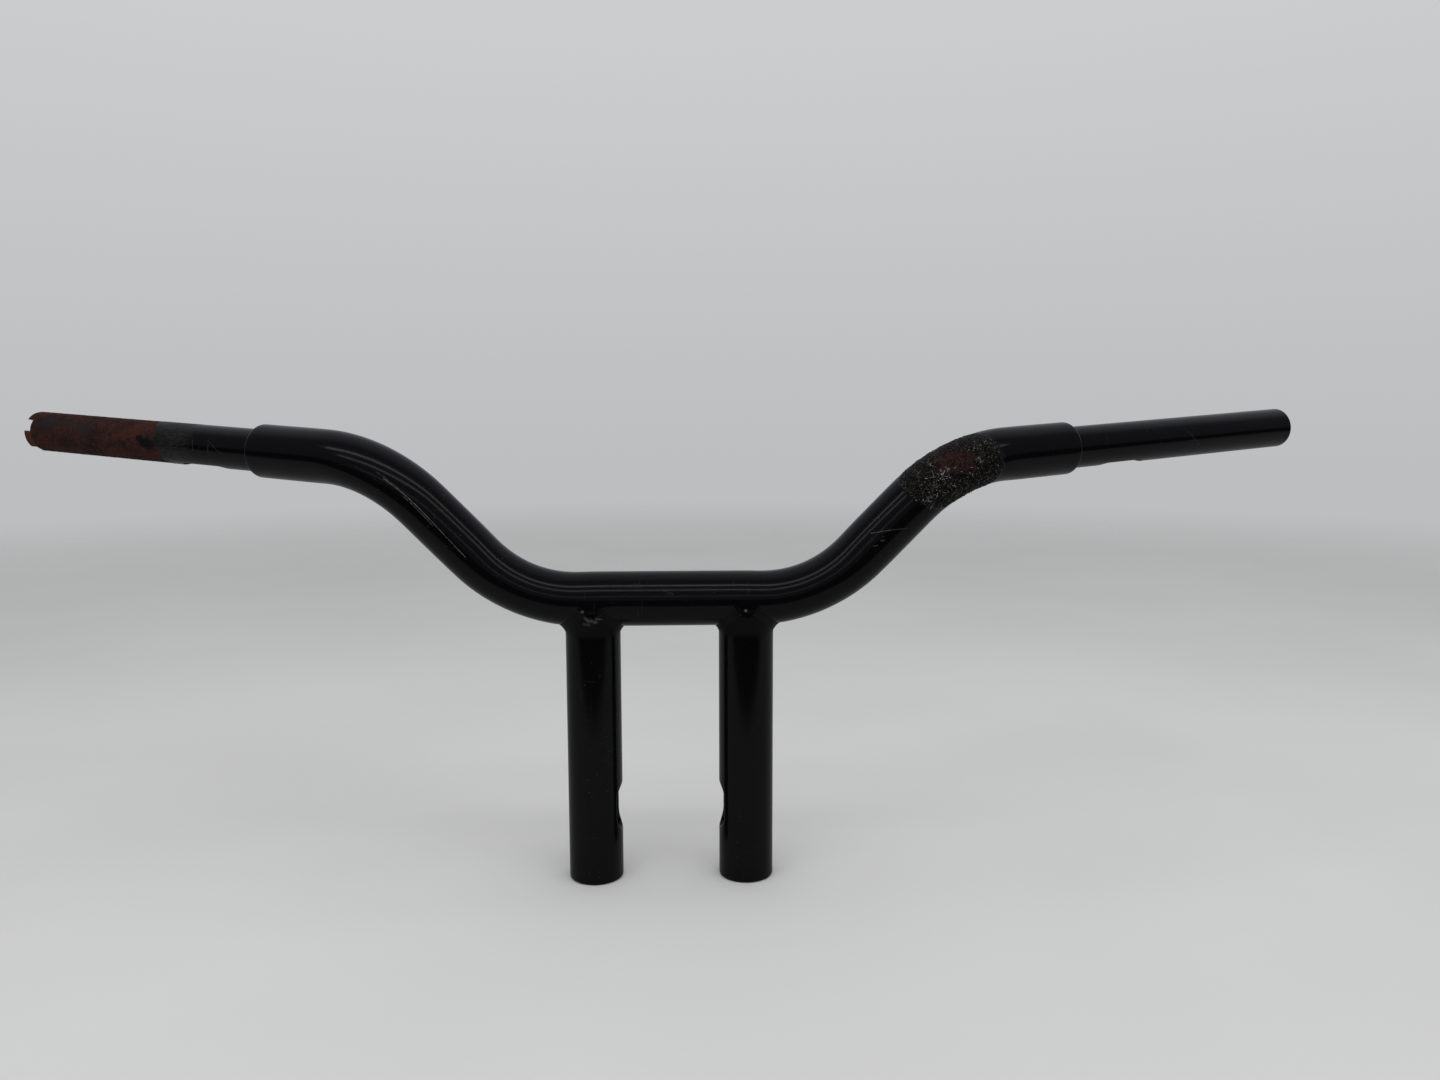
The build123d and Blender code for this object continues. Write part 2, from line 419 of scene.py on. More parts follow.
def makeBlisteredCoat():
    # the same coat, lifted and crinkled where rust has crept under it
    material, tree, shader = startMaterial("blisteredBlackCoat")
    color, roughness, normal = glossCoat(tree, paintLook, barScratchesAndPaintedStreaks())
    place = placeOf(tree)
    ragged = calc(tree, "SUBTRACT", grain(tree, place, 190.0, 5.0, 0.7), 0.5)
    ragged = calc(tree, "MULTIPLY", ragged, blisterLook["edgeRagged"] * 2)
    lifted = remap(tree, calc(tree, "ADD", attribute(tree, "blister"), ragged), 0.46, 0.54)
    rustField = calc(tree, "ADD", attribute(tree, "rustCore"), calc(tree, "MULTIPLY", ragged, 1.9))
    rusted = remap(tree, rustField, 0.46, 0.80, 0.0, 0.9)
    rust = useGroup(tree, rustMottle, Scale=330.0, Red=0.6)
    crackle = cells(tree, place, 640.0, "DISTANCE_TO_EDGE")
    crumbs = grain(tree, place, 800.0, 4.0, 0.7)
    rusted = calc(tree, "MULTIPLY", rusted, remap(tree, crumbs, 0.38, 0.56, 0.15, 1.0))
    ashShare = calc(tree, "MULTIPLY", remap(tree, crumbs, 0.50, 0.62), remap(tree, crackle, 0.15, 0.07))
    ashPatch = remap(tree, grain(tree, place, 190.0, 3.0), 0.38, 0.60, 0.30, 1.0)
    ashShare = calc(tree, "MULTIPLY", ashShare, ashPatch)
    stained = remap(tree, grain(tree, place, 260.0, 4.0, 0.6), 0.45, 0.65, 0.0, 0.8)
    crust = blendColor(tree, stained, blisterLook["crinkled"], blisterLook["brown"])
    crust = blendColor(tree, ashShare, crust, blisterLook["ash"])
    crust = blendColor(tree, rusted, crust, rust["Color"])
    plug(tree, shader.inputs["Base Color"], blendColor(tree, lifted, color, crust))
    crustRough = blendValue(tree, rusted, remap(tree, crumbs, 0.35, 0.65, 0.22, 0.6), rust["Roughness"])
    plug(tree, shader.inputs["Roughness"], blendValue(tree, lifted, roughness, crustRough))
    crustHeight = calc(tree, "ADD", crumbs, remap(tree, crackle, 0.0, 0.2))
    crustHeight = calc(tree, "MULTIPLY", crustHeight, lifted)
    plug(tree, shader.inputs["Normal"], addBump(tree, crustHeight, blisterLook["crackDepth"], normal))
    shine = blendValue(tree, lifted, paintLook["specular"], blisterLook["specular"])
    plug(tree, shader.inputs["Specular IOR Level"], shine)
    return material


wornLook = {
    "scuffed": (0.017, 0.0155, 0.0145, 1),
    "greyStain": (0.0155, 0.0135, 0.0125, 1),
    "darkStain": (0.0045, 0.005, 0.0055, 1),
    "rustShine": 0.07,
    "brightRust": (0.085, 0.032, 0.012, 1),
    "rustDepth": 0.20 * mm,
}


def makeWornGripCoat():
    # sound by the shoulder, scuffed grey further out, rubbed to rusty steel at the tip
    material, tree, shader = startMaterial("wornGripCoat")
    color, roughness, normal = glossCoat(tree, paintLook, gripMarks("throttle"))
    place = placeOf(tree)
    ragged = calc(tree, "SUBTRACT", grain(tree, place, 170.0, 5.0, 0.62), 0.5)
    bareField = calc(tree, "ADD", attribute(tree, "bare"), calc(tree, "MULTIPLY", ragged, 0.5))
    bare = remap(tree, bareField, 0.47, 0.53)
    scuffField = calc(tree, "ADD", attribute(tree, "scuff"), calc(tree, "MULTIPLY", ragged, 0.9))
    scuff = remap(tree, scuffField, 0.30, 1.05)
    streaks = grain(tree, placeOf(tree, (1, 1, 6)), 240.0, 4.0, 0.6)
    scuffColor = blendColor(tree, remap(tree, streaks, 0.35, 0.7), color, wornLook["scuffed"])
    color = blendColor(tree, scuff, color, scuffColor)
    roughness = blendValue(tree, scuff, roughness, 0.42)
    rust = useGroup(tree, rustMottle, Scale=95.0, Red=0.62)
    stain = remap(tree, calc(tree, "ADD", attribute(tree, "stain"), ragged), 0.35, 0.75, 0, 0.8)
    tar = remap(tree, calc(tree, "ADD", attribute(tree, "tar"), ragged), 0.42, 0.6)
    tipRust = remap(tree, calc(tree, "ADD", attribute(tree, "tipRust"), ragged), 0.55, 0.8, 0, 0.6)
    rustColor = blendColor(tree, stain, rust["Color"], wornLook["greyStain"])
    rustColor = blendColor(tree, tar, rustColor, wornLook["darkStain"])
    rustColor = blendColor(tree, tipRust, rustColor, wornLook["brightRust"])
    plug(tree, shader.inputs["Base Color"], blendColor(tree, bare, color, rustColor))
    plug(tree, shader.inputs["Roughness"], blendValue(tree, bare, roughness, rust["Roughness"]))
    rustHeight = calc(tree, "MULTIPLY", rust["Height"], bare)
    plug(tree, shader.inputs["Normal"], addBump(tree, rustHeight, wornLook["rustDepth"], normal))
    shine = blendValue(tree, bare, paintLook["specular"], wornLook["rustShine"])
    plug(tree, shader.inputs["Specular IOR Level"], shine)
    return material


def makeLiftedPaint():
    # brittle curls of paint, chalky where they have torn
    material, tree, shader = startMaterial("liftedPaint")
    place = placeOf(tree)
    chalk = remap(tree, grain(tree, place, 900.0, 4.0, 0.6), 0.38, 0.62)
    color = blendColor(tree, chalk, (0.010, 0.010, 0.011, 1), (0.17, 0.172, 0.18, 1))
    plug(tree, shader.inputs["Base Color"], color)
    plug(tree, shader.inputs["Roughness"], remap(tree, chalk, 0, 1, 0.35, 0.7))
    plug(tree, shader.inputs["Normal"], addBump(tree, grain(tree, place, 2500.0, 3.0), 0.05 * mm))
    shader.inputs["Specular IOR Level"].default_value = 0.3
    return material


def makeMachinedSteel():
    # turned steel: fine rings about the bolt axis, a few stains
    material, tree, shader = startMaterial("machinedSteel")
    rings = grain(tree, placeOf(tree, (1, 1, 25)), 160.0, 4.0, 0.6)
    stains = remap(tree, grain(tree, placeOf(tree), 150.0, 4.0, 0.6), 0.5, 0.72)
    color = blendColor(tree, stains, (0.36, 0.35, 0.34, 1), (0.16, 0.12, 0.09, 1))
    plug(tree, shader.inputs["Base Color"], color)
    shader.inputs["Metallic"].default_value = 1.0
    plug(tree, shader.inputs["Roughness"], remap(tree, rings, 0.3, 0.7, 0.28, 0.46))
    plug(tree, shader.inputs["Normal"], addBump(tree, rings, 0.02 * mm))
    return material


def makeDressedWeld():
    # weld metal ground flush with the foot: brighter scratches over a duller bead
    material, tree, shader = startMaterial("dressedWeld")
    bead = grain(tree, placeOf(tree), 420.0, 4.0, 0.6)
    lines = useGroup(tree, hairScratches, Scale=220.0, Amount=1.0)["Mask"]
    color = blendColor(tree, remap(tree, bead, 0.35, 0.65), (0.20, 0.19, 0.18, 1), (0.33, 0.31, 0.29, 1))
    plug(tree, shader.inputs["Base Color"], blendColor(tree, lines, color, (0.45, 0.44, 0.42, 1)))
    shader.inputs["Metallic"].default_value = 1.0
    plug(tree, shader.inputs["Roughness"], remap(tree, bead, 0.3, 0.7, 0.38, 0.58))
    plug(tree, shader.inputs["Normal"], addBump(tree, bead, 0.06 * mm))
    return material


# Centreline of the bent tube, from the middle of the bar out to one shoulder

bend = {
    "diagonalAngle": math.radians(45.7),
    "radius": 82.55 * mm,
    "flattening": 0.045,      # the tube loses this share of its width in a bend
    "bulging": 0.02,          # and gains this much across it
    "spill": 14 * mm,         # how far the flattening runs out past the bend
    "settle": 30 * mm,        # how far inside the bend it is complete
}

grip = {
    "length": 184.0 * mm,     # shoulder to tip
    "rootGap": 1.5 * mm,      # filled by the shoulder weld
    "tipRound": 0.6 * mm,
    "spigotLength": 38.0 * mm,
    "spigotStep": 0.35 * mm,
    "slotStart": 24.0 * mm,
    "slotLength": 36.0 * mm,
    "slotWidth": 11.5 * mm,
    "slotRound": 0.5 * mm,
    "notchWidth": 8.0 * mm,
    "notchDepth": 5.5 * mm,
    "notchTurn": math.radians(111),
    "notches": 4,
    "notchColumns": 13,
    "fingerColumns": 19,      # between two notches
    "columns": 128,           # notches * (notchColumns + fingerColumns)
    "rootRows": 7,
    "blockRows": 32,
    "blockMargin": 5.0 * mm,
    "blockReach": math.radians(52),
    "slotInnerRound": 0.25 * mm,
}


def gripAxis(name):
    # shoulder point, direction to the tip, direction to the ground, and the one across both
    mount = mounts["grip_" + name]
    along = Vector(mount["axis"]).normalized()
    half = mount["dims"]["length_mm"] * mm / 2
    shoulder = Vector(mount["pos_m"]) - along * (half + grip["rootGap"])
    down = (Vector((0, 0, -1)) - along * along.dot(Vector((0, 0, -1)))).normalized()
    return shoulder, along, down, along.cross(down)


def traceRoute(corners, radius):
    # straight runs joined by tangent arcs, each with the frame that it starts with
    front, up = Vector((0, -1, 0)), Vector((0, 0, 1))
    runs, start, travelled = [], corners[0], 0.0
    for i in range(1, len(corners)):
        heading = (corners[i] - corners[i - 1]).normalized()
        onward = corners[i + 1] - corners[i] if i + 1 < len(corners) else heading
        turn = heading.angle(onward)
        stop = corners[i] - heading * radius * math.tan(turn / 2)
        run = {"from": travelled, "start": start, "heading": heading, "front": front, "up": up}
        runs.append(dict(run, axis=None, to=travelled + (stop - start).length))
        travelled = runs[-1]["to"]
        if i + 1 < len(corners):
            axis = heading.cross(onward).normalized()
            runs.append(dict(run, start=stop, axis=axis, to=travelled + turn * radius))
            runs[-1]["from"] = travelled
            travelled = runs[-1]["to"]
            spin = Matrix.Rotation(turn, 3, axis)
            centre = stop + axis.cross(heading) * radius
            start = centre + spin @ (stop - centre)
            front, up = spin @ front, spin @ up
    return runs, travelled


shoulderPoint, endHeading, _, _ = gripAxis("clutch")
secondCorner = shoulderPoint - endHeading * (shoulderPoint.y / endHeading.y)
climb = (secondCorner.z - barHeight) / math.tan(bend["diagonalAngle"])
firstCorner = Vector((secondCorner.x - climb, 0, barHeight))
routeCorners = [Vector((0, 0, barHeight)), firstCorner, secondCorner, shoulderPoint]
route, routeLength = traceRoute(routeCorners, bend["radius"])


def ringOnRoute(distance, radii, angles):
    # a ring of the bent tube; angle 0 faces the front and 90 degrees up, distance is negative on the left
    far = abs(distance)
    run = [item for item in route if item["from"] <= far + 1e-9][-1]
    point = run["start"] + run["heading"] * (far - run["from"])
    heading, front, up = run["heading"], run["front"], run["up"]
    if run["axis"] is not None:
        spin = Matrix.Rotation((far - run["from"]) / bend["radius"], 3, run["axis"])
        centre = run["start"] + run["axis"].cross(run["heading"]) * bend["radius"]
        point = centre + spin @ (run["start"] - centre)
        heading, front, up = spin @ heading, spin @ front, spin @ up
    offsets = np.outer(radii * np.cos(angles), front) + np.outer(radii * np.sin(angles), up)
    for arc in (item for item in route if item["axis"] is not None):
        depth = min(far - arc["from"], arc["to"] - far) + bend["spill"]
        share = float(ease(depth, 0, bend["spill"] + bend["settle"]))
        inward = np.array(arc["axis"].cross(heading))
        sideways = np.array(arc["axis"])
        flatter = np.outer(offsets @ inward, inward) * bend["flattening"] * share
        offsets = offsets - flatter + np.outer(offsets @ sideways, sideways) * bend["bulging"] * share
    ring = np.array(point) + offsets
    if distance < 0:
        ring[:, 0] *= -1
    return ring


# Scratches along the tubes, and painted highlight streaks on the bar's throttle-side bend: distance in mm and
# degrees at each end, width in mm, strength
scratches = {
    "bar": [
        # the four bar marks between -186 and -121 mm are painted highlight streaks: lighter coat standing in
        # for the room lights' reflections on that bend
        (-181, 6, -152, 2, 0.40, 0.9), (-152, 2, -121, -3, 0.36, 0.8), (-168, 0, -146, -3, 0.28, 0.7),
        (-186, 10, -172, 7, 0.25, 0.5), (130, 26, 139, 2, 0.34, 0.75), (139, 2, 146, -20, 0.28, 0.45),
        (131, 0, 132.5, -4, 0.45, 0.5), (126, 3, 127.5, -1, 0.45, 0.45), (-3, 26, 2, 18, 1.0, 0.12),
    ],
    "throttle": [
        (42, 108, 41.5, 80, 0.30, 0.35), (29.5, 100, 30, 78, 0.26, 0.6), (30.5, 111, 19, 75, 0.17, 0.35),
    ],
    "clutch": [
        (66.5, 198, 70, 225, 0.20, 0.3), (85.5, 321, 97, 351, 0.20, 0.3), (88.5, 246, 100, 294, 0.9, 0.07),
        (93, 250, 94, 290, 0.22, 0.14),
    ],
    "longest": 6,             # a straight piece of a scratch covers at most this many mm along the tube
    "widest": 9,              # and this many degrees round it
}

# Marks on the fronts of the risers, the first on each side a painted highlight speck on the weld's bump: mm
# beside the riser's axis and below the bar's centreline at each end, width in mm, strength
weldScratchesAndPaintedGlints = {
    "throttle": [
        (-4.9, 4.8, -4.4, 4.9, 1.0, 1.0), (-3, 9, -1, 10, 1.3, 0.4), (-1, 10, 3, 11, 1.5, 0.35),
        (-4, 12, -1, 12.5, 1.1, 0.25), (3, 9, 6, 9.5, 0.9, 0.35),
    ],
    "clutch": [(-1.2, 4.8, -0.9, 4.9, 1.0, 1.0)],
}


def splitMarks(lines, pointAt):
    marks = []
    for along, angle, alongEnd, angleEnd, width, strength in lines:
        wanted = (abs(alongEnd - along) / scratches["longest"], abs(angleEnd - angle) / scratches["widest"])
        count = math.ceil(max(wanted))
        steps = [i / count for i in range(count + 1)]
        points = []
        for t in steps:
            turn = math.radians(angle + (angleEnd - angle) * t)
            points.append(pointAt((along + (alongEnd - along) * t) * mm, turn))
        marks += [(first, second, width * mm, strength) for first, second in zip(points, points[1:])]
    return marks


# marks for the bar: scratches and chips, and painted highlight streaks on its throttle-side bend
def barScratchesAndPaintedStreaks():
    def pointAt(along, angle):
        return ringOnRoute(along, np.array([barRadius]), np.array([angle]))[0]

    return splitMarks(scratches["bar"], pointAt)


# marks on the risers' fronts, among them the painted highlight specks on the weld bumps
def weldMarksAndPaintedGlints():
    marks = []
    for name, side in sides.items():
        for fromX, fromDrop, toX, toDrop, width, strength in weldScratchesAndPaintedGlints[name]:
            ends = []
            for aside, drop in ((fromX * mm, fromDrop * mm), (toX * mm, toDrop * mm)):
                lift = math.sqrt(riserRadius ** 2 - aside ** 2) + saddle["cap"]
                ends.append((side * riserX + aside, -lift, barHeight - drop))
            marks.append((*ends, width * mm, strength))
    return marks


def gripMarks(name):
    shoulder, along, down, across = gripAxis(name)

    def pointAt(place, angle):
        return shoulder + along * place + (down * math.cos(angle) + across * math.sin(angle)) * gripRadius

    return splitMarks(scratches[name], pointAt)


# The bar itself: bent tube with rounded shoulders, and a corroded patch on the clutch side's upper bend

bar = {
    "columns": 144,
    "step": 2.0 * mm,
    "fineStep": 0.55 * mm,
    "finePart": (152 * mm, 224 * mm),
    "shoulderRound": 2.0 * mm,
    "socketFit": 0.25 * mm,   # the socket is this much tighter than the grip tube's outside
}

# Outlines as (distance from the middle in mm, degrees above the front of the tube)
corrosion = {
    "patch": [(160, 28), (163, 70), (168, 104), (182, 118), (200, 110), (209, 80), (214, 20),
              (215, -30), (208, -84), (192, -92), (172, -62), (163, -20)],
    "core": [(176, 20), (181, 52), (190, 62), (198, 50), (203, 18), (198, -20), (187, -12)],
    "edgeBlur": 7.0,
    "crustLift": 0.45 * mm,
    "crumbLift": 0.34 * mm,
    "coreSink": 0.25 * mm,
    "blisterSize": 2.2 * mm,
    "crumbSize": 0.8 * mm,
}


def crustAt(place):
    # blisters with cracks between them, and finer crumbs on top
    near = noise.voronoi(place / corrosion["blisterSize"])[0]
    dome = min(1.0, (near[1] - near[0]) * 2.2)
    crumbs = noise.noise(place / corrosion["crumbSize"])
    return dome * corrosion["crustLift"] + crumbs * corrosion["crumbLift"]


def corrosionFields(distance, angles):
    wrapped = (np.degrees(angles) + 180) % 360 - 180
    arcLength = math.degrees(1) / (barRadius / mm)
    fields = []
    for outline in (corrosion["patch"], corrosion["core"]):
        flat = [(along, degrees / arcLength) for along, degrees in outline]
        fields.append(insideDistance(flat, np.full(angles.shape, distance / mm), wrapped / arcLength))
    return fields


def barRows():
    # distance and radius of every ring, from one blind socket to the other
    edge = bar["shoulderRound"]
    socket = gripRadius - bar["socketFit"]
    profile = [(grip["spigotLength"], 0.02 * mm), (grip["spigotLength"], socket)]
    profile += [(grip["spigotLength"] * share, socket) for share in (0.66, 0.33)]
    profile += [(0, socket), (0, (socket + barRadius - edge) / 2)]
    for turn in np.radians(np.arange(0, 91, 15)):
        profile.append((edge * (1 - math.cos(turn)), barRadius - edge * (1 - math.sin(turn))))
    left = [(-routeLength + inset, radius) for inset, radius in profile]
    right = [(-distance, radius) for distance, radius in reversed(left)]
    fineStart, fineEnd = bar["finePart"]
    spans = [(left[-1][0], fineStart, bar["step"]), (fineStart, fineEnd, bar["fineStep"])]
    spans.append((fineEnd, right[0][0], bar["step"]))
    middle = []
    for start, stop, step in spans:
        count = max(1, round((stop - start) / step))
        middle += [(start + (stop - start) * i / count, barRadius) for i in range(count)]
    return left + middle[1:] + right


def makeBar():
    mesh = newMesh("blister", "rustCore")
    angles = circle(bar["columns"])
    rows, blister, core = [], [], []
    low, high = bar["finePart"]
    for distance, radius in barRows():
        radii = np.full(angles.shape, radius)
        patchDepth = coreDepth = np.full(angles.shape, -99.0)
        if low - 3 * mm < distance < high + 3 * mm:
            patchDepth, coreDepth = corrosionFields(distance, angles)
            plain = ringOnRoute(distance, radii, angles)
            for j in np.nonzero(patchDepth > -1.5)[0]:
                share = float(ease(patchDepth[j], -1.5, 2.5))
                sink = float(ease(coreDepth[j], -1.5, 2.0)) * corrosion["coreSink"]
                radii[j] += share * (crustAt(Vector(plain[j])) - sink)
        rows.append(ringOnRoute(distance, radii, angles))
        blister.append(np.clip(0.5 + patchDepth / corrosion["edgeBlur"] / 2, 0, 1))
        core.append(np.clip(0.5 + coreDepth / corrosion["edgeBlur"] / 2, 0, 1))
    addGrid(mesh, rows, marks={"blister": blister, "rustCore": core})
    return finishPiece(mesh, "barTube", blisteredCoat, ["centre_tube"])


# Curls of paint that stand up around the rust, in clusters: distance in mm, degrees, spread in mm, count
flakes = {
    "clusters": [
        (180, 12, 6.0, 34), (171, 0, 6.0, 26), (200, 4, 3.5, 8), (178, 44, 3.0, 7), (201, 34, 3.0, 6),
        (190, -22, 11.0, 14),
    ],
    "length": (0.9 * mm, 2.2 * mm),
    "width": (0.35 * mm, 0.7 * mm),
    "thickness": 0.12 * mm,
    "curl": (0.2, 1.2),
    "rootLean": 0.06,
    "taper": 0.55,
    "rings": 7,
}


def makeFlakes():
    mesh = newMesh()
    for distance, degrees, spread, count in flakes["clusters"]:
        for _ in range(count):
            along = (distance + random.gauss(0, spread / 2)) * mm
            angle = math.radians(degrees) + random.gauss(0, spread / 2) * mm / barRadius
            spots = [ringOnRoute(along + step, np.array([radius]), np.array([angle]))[0]
                     for step, radius in ((0, barRadius), (mm, barRadius), (0, barRadius + mm))]
            root = Vector(spots[0])
            ahead, out = (Vector(spot - spots[0]).normalized() for spot in spots[1:])
            heading = Matrix.Rotation(random.uniform(0, 2 * math.pi), 3, out) @ ahead
            width = random.uniform(*flakes["width"]) / 2
            length = random.uniform(*flakes["length"])
            curl = random.uniform(*flakes["curl"])
            addCurl(mesh, root + out * 0.1 * mm, heading, out, length, width, curl)
    return finishPiece(mesh, "liftedPaintCurls", liftedPaint, [], 60)


def addCurl(mesh, root, heading, out, length, halfWidth, curl):
    # a strip that bends up through the angle curl, thin at its torn end
    across = heading.cross(out)
    steps, rows = flakes["rings"], []
    point, lean = root.copy(), flakes["rootLean"]
    for i in range(steps):
        forward = heading * math.cos(lean) + out * math.sin(lean)
        normal = out * math.cos(lean) - heading * math.sin(lean)
        taper = 1 - flakes["taper"] * (i / (steps - 1)) ** 2
        ring = []
        for turn in circle(8):
            wide = across * (math.cos(turn) * halfWidth * taper)
            ring.append(point + wide + normal * (math.sin(turn) * flakes["thickness"] / 2))
        rows.append(ring)
        point = point + forward * (length / (steps - 1))
        lean += curl / (steps - 1)
    verts = addGrid(mesh, rows)
    mesh.faces.new(verts[0])
    mesh.faces.new(verts[-1])


# Round-ended holes through tube walls: rings of a patch that runs from a block of the grid to the hole

def obroundReach(direction, halfWidth, halfStraight):
    # distance from the middle of an obround to its edge; its straight sides run along the second axis
    x, y = abs(direction[0]), abs(direction[1])
    if x > 1e-9 and halfWidth / x * y <= halfStraight:
        return halfWidth / x
    return halfStraight * y + math.sqrt(halfWidth ** 2 - (halfStraight * x) ** 2)


def blockEdge(columnAngles, places):
    # the rim of a block of grid points, once around
    edge = [(angle, places[0]) for angle in columnAngles[:-1]]
    edge += [(columnAngles[-1], place) for place in places[:-1]]
    edge += [(angle, places[-1]) for angle in columnAngles[:0:-1]]
    edge += [(columnAngles[0], place) for place in places[:0:-1]]
    return edge


def cutHole(mesh, surface, outer, inner, columns, places, hole):
    # surface(radius, angle, place) gives a point; columns(radius) the angles of the block's columns
    middle, directions = hole["middle"], {}
    for radius, rounding in ((outer, hole["round"]), (inner, hole["innerRound"])):
        edge = blockEdge(columns(radius), places)
        directions[radius] = [Vector((radius * angle, place - middle)).normalized() for angle, place in edge]
        inmost = []
        for direction in directions[radius]:
            reach = obroundReach(direction, hole["halfWidth"] + rounding, hole["halfStraight"])
            inmost.append((math.asin(direction.x * reach / radius), middle + direction.y * reach))
        patch = []
        for share in np.linspace(1, 0, 9):
            ring = [(a + (b - a) * share, p + (q - p) * share) for (a, p), (b, q) in zip(inmost, edge)]
            patch.append([surface(radius, angle, place) for angle, place in ring])
        addGrid(mesh, patch)
    wall = []
    for turn in np.radians(np.arange(0, 91, 18)):
        grow = hole["round"] * (1 - math.sin(turn))
        sink = hole["round"] * (1 - math.cos(turn))
        wall.append(holeRing(surface, outer, -sink, directions[outer], hole, grow))
    for turn in np.radians(np.arange(90, -1, -30)):
        grow = hole["innerRound"] * (1 - math.sin(turn))
        rise = hole["innerRound"] * (1 - math.cos(turn))
        wall.append(holeRing(surface, inner, rise, directions[inner], hole, grow))
    addGrid(mesh, wall)


def holeRing(surface, radius, lift, directions, hole, grow):
    # a ring of the hole's wall: straight through the tube, at this height over the tube's surface
    ring = []
    for direction in directions:
        reach = obroundReach(direction, hole["halfWidth"] + grow, hole["halfStraight"])
        across, place = direction.x * reach, hole["middle"] + direction.y * reach
        deep = math.sqrt(radius ** 2 - across ** 2) + lift
        ring.append(surface(math.hypot(deep, across), math.atan2(across, deep), place))
    return ring


# Risers: heavy tubes with a wiring window that faces the other riser

riser = {
    "wall": 6.35 * mm,
    "footRound": 1.6 * mm,
    "windowWidth": 17.0 * mm,
    "windowHeight": 27.2 * mm,
    "windowMiddle": 43.2 * mm,
    "windowRound": 0.9 * mm,
    "columns": 128,
    "blockColumns": 28,
    "blockMargin": 6.0 * mm,
    "blockRows": 24,
    "upperRows": 40,
    "lowerRows": 12,
    "windowInnerRound": 0.4 * mm,
    "topSink": 2.0 * mm,      # runs on into the bar, under the weld
}


def makeRiser(name, side):
    bore = riserRadius - riser["wall"]
    count, reach = riser["columns"], riser["blockColumns"]
    angles = circle(count)

    def surface(radius, angle, place):
        return (side * (riserX - radius * math.cos(angle)), radius * math.sin(angle), place)

    def topAt(radius, angle):
        flank = math.sqrt(max(0.0, barRadius ** 2 - (radius * math.sin(angle)) ** 2))
        return barHeight - flank + riser["topSink"] * min(1.0, 2 * abs(math.cos(angle)))

    half = riser["windowHeight"] / 2 + riser["blockMargin"]
    middle = riser["windowMiddle"]
    places = list(np.linspace(middle - half, middle + half, riser["blockRows"] + 1))
    edge = riser["footRound"]
    rows = []
    for radius in (riserRadius, bore):
        wall = []
        upper = np.linspace(0, 1, riser["upperRows"])[1:]
        rises = [topAt(radius, a) - places[-1] for a in angles]
        for share in upper[::-1]:
            wall.append([surface(radius, a, places[-1] + rise * share) for a, rise in zip(angles, rises)])
        wall += [[surface(radius, a, place) for a in angles] for place in reversed(places)]
        low = edge if radius == riserRadius else 0
        for place in np.linspace(places[0], low, riser["lowerRows"])[1:]:
            wall.append([surface(radius, a, place) for a in angles])
        rows.append(wall)
    foot = []
    for turn in np.radians(np.arange(15, 91, 15)):
        radius = riserRadius - edge * (1 - math.cos(turn))
        foot.append([surface(radius, a, edge * (1 - math.sin(turn))) for a in angles])
    firstRow = len(upper)
    lastRow = firstRow + riser["blockRows"]
    total = len(rows[0]) * 2 + len(foot)

    def outsideBlock(i, j):
        row = i if i < len(rows[0]) else total - 1 - i - 1
        inRows = firstRow <= row < lastRow
        inColumns = j < reach or j >= count - reach
        return not (inRows and inColumns)

    loop = rows[0] + foot + rows[1][::-1]
    loop.append(loop[0])
    mesh = newMesh()
    addGrid(mesh, loop, keep=outsideBlock)
    step = 2 * math.pi / count
    hole = {
        "middle": middle,
        "halfWidth": riser["windowWidth"] / 2,
        "halfStraight": (riser["windowHeight"] - riser["windowWidth"]) / 2,
        "round": riser["windowRound"],
        "innerRound": riser["windowInnerRound"],
    }
    blockAngles = [k * step for k in range(-reach, reach + 1)]
    cutHole(mesh, surface, riserRadius, bore, lambda radius: blockAngles, places, hole)
    return finishPiece(mesh, "riser" + name.capitalize(), glossBlackCoat, ["riser_" + name])


# Saddle welds: a bead round each riser where it meets the bar, with the weld pool's ripples in it

saddle = {
    "leg": 3.3 * mm,
    "cap": 0.15 * mm,         # proud of the tubes at the front and the back
    "hollow": 0.75 * mm,
    "ripple": 0.16 * mm,
    "ripplePitch": 1.7 * mm,
    "bumpHeight": 0.45 * mm,  # where the welder stopped, on the front
    "bumpDrop": 7.2 * mm,
    "bumpSize": (6.6 * mm, 2.9 * mm),
    "overrun": 2.1 * mm,      # the bead's upper edge runs on into the bent tube
}


def saddlePoint(side, turn, share):
    # turn goes round the riser, share across the bead from the riser's wall to the bar
    proud = riserRadius + saddle["cap"]
    y = -proud * math.sin(turn)
    flank = math.copysign(1.0, math.cos(turn))
    flat = math.sqrt(max(0.0, riserRadius ** 2 - y * y))
    spread = saddle["leg"] + 2 * riserRadius * abs(math.cos(turn))
    low, high = flat, spread - flat + saddle["overrun"] * flat / riserRadius
    out = low + (high - low) * share
    drop = spread - out
    bulge = math.sin(math.pi * share) * flat / riserRadius
    around = turn * riserRadius / saddle["ripplePitch"] - 0.55 * math.sin(math.pi * share)
    ripple = saddle["ripple"] * (abs(math.sin(math.pi * around)) - 0.5) * math.sin(math.pi * share) ** 0.5
    shift = (ripple - saddle["hollow"] * bulge) / math.sqrt(2)
    out, drop = out + shift, drop + shift
    wide, high = saddle["bumpSize"]
    gap = math.hypot(flank * out / wide, (drop - saddle["bumpDrop"]) / high)
    bump = saddle["bumpHeight"] * (1 - gap * gap) ** 2 if gap < 1 and y < 0 else 0.0
    return (side * riserX + flank * out, y - bump - 0.3 * ripple, barHeight - drop)


